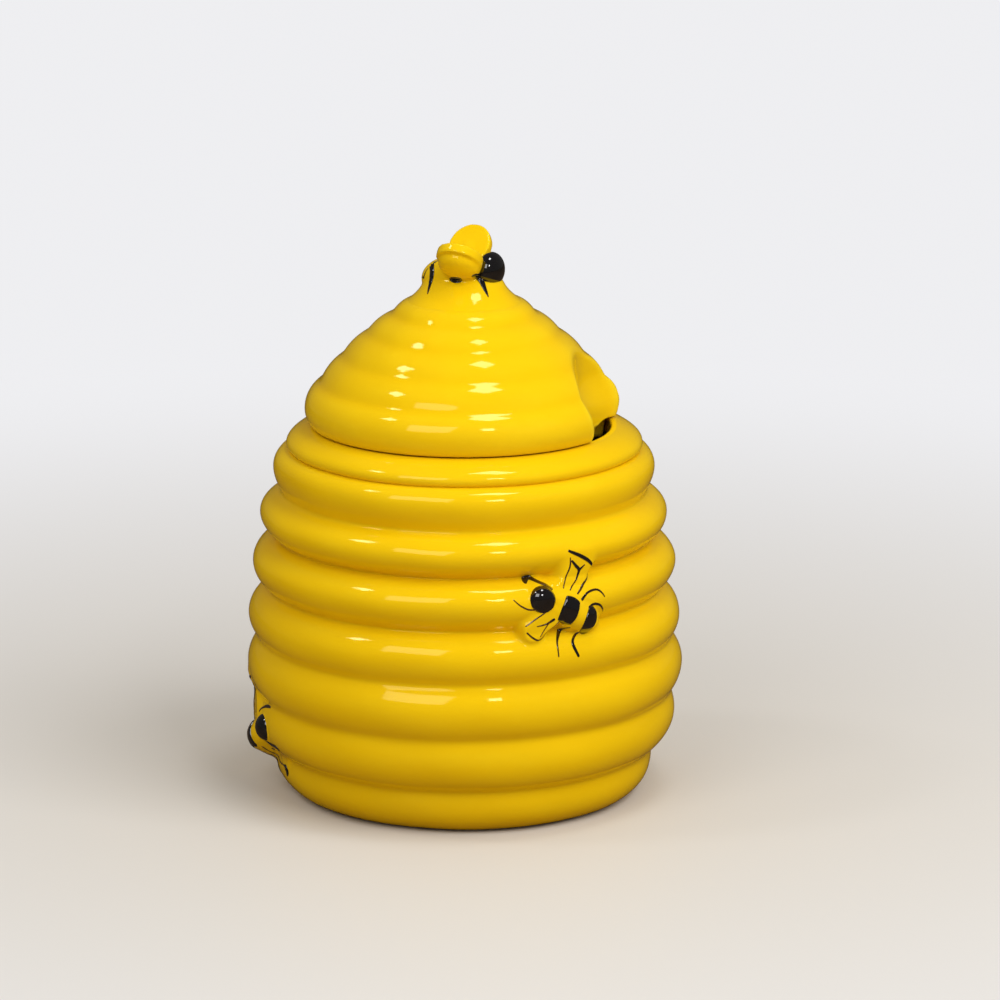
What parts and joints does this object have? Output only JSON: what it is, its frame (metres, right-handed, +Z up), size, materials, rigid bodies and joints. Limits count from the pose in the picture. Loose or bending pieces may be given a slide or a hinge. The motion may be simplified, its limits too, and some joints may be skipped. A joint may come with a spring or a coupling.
{
  "type": "honey pot",
  "caption": "Beehive-shaped glazed ceramic honey pot with a loose lift-off lid, a bee knob, a serving notch and bees in relief.",
  "frame": {"origin": "centre of the foot, on the surface that the pot stands on", "axes": "+Z up along the pot's axis, front towards -Y, serving notch near +X"},
  "size_m": [0.1118, 0.1118, 0.1467],
  "materials": {
    "yellow_glaze": "high-gloss honey-yellow glaze on cast earthenware, darker where it pools in the grooves",
    "black_glaze": "high-gloss black glaze, brownish where it is thin"
  },
  "bodies": {
    "pot": {"pot_body": "yellow_glaze", "front_bee_head": "black_glaze", "front_bee_body": "yellow_glaze", "side_bee_head": "black_glaze", "side_bee_body": "yellow_glaze"},
    "lid": {"lid_shell": "yellow_glaze", "knob_bee_body": "yellow_glaze", "knob_bee_head": "black_glaze", "knob_bee_left_wing": "yellow_glaze", "knob_bee_right_wing": "yellow_glaze"}
  },
  "joints": [
    {"name": "lid_lift", "type": "slide", "parent": "pot", "child": "lid", "axis": [0, 0, 1], "range_m": [0, 0.06]}
  ]
}
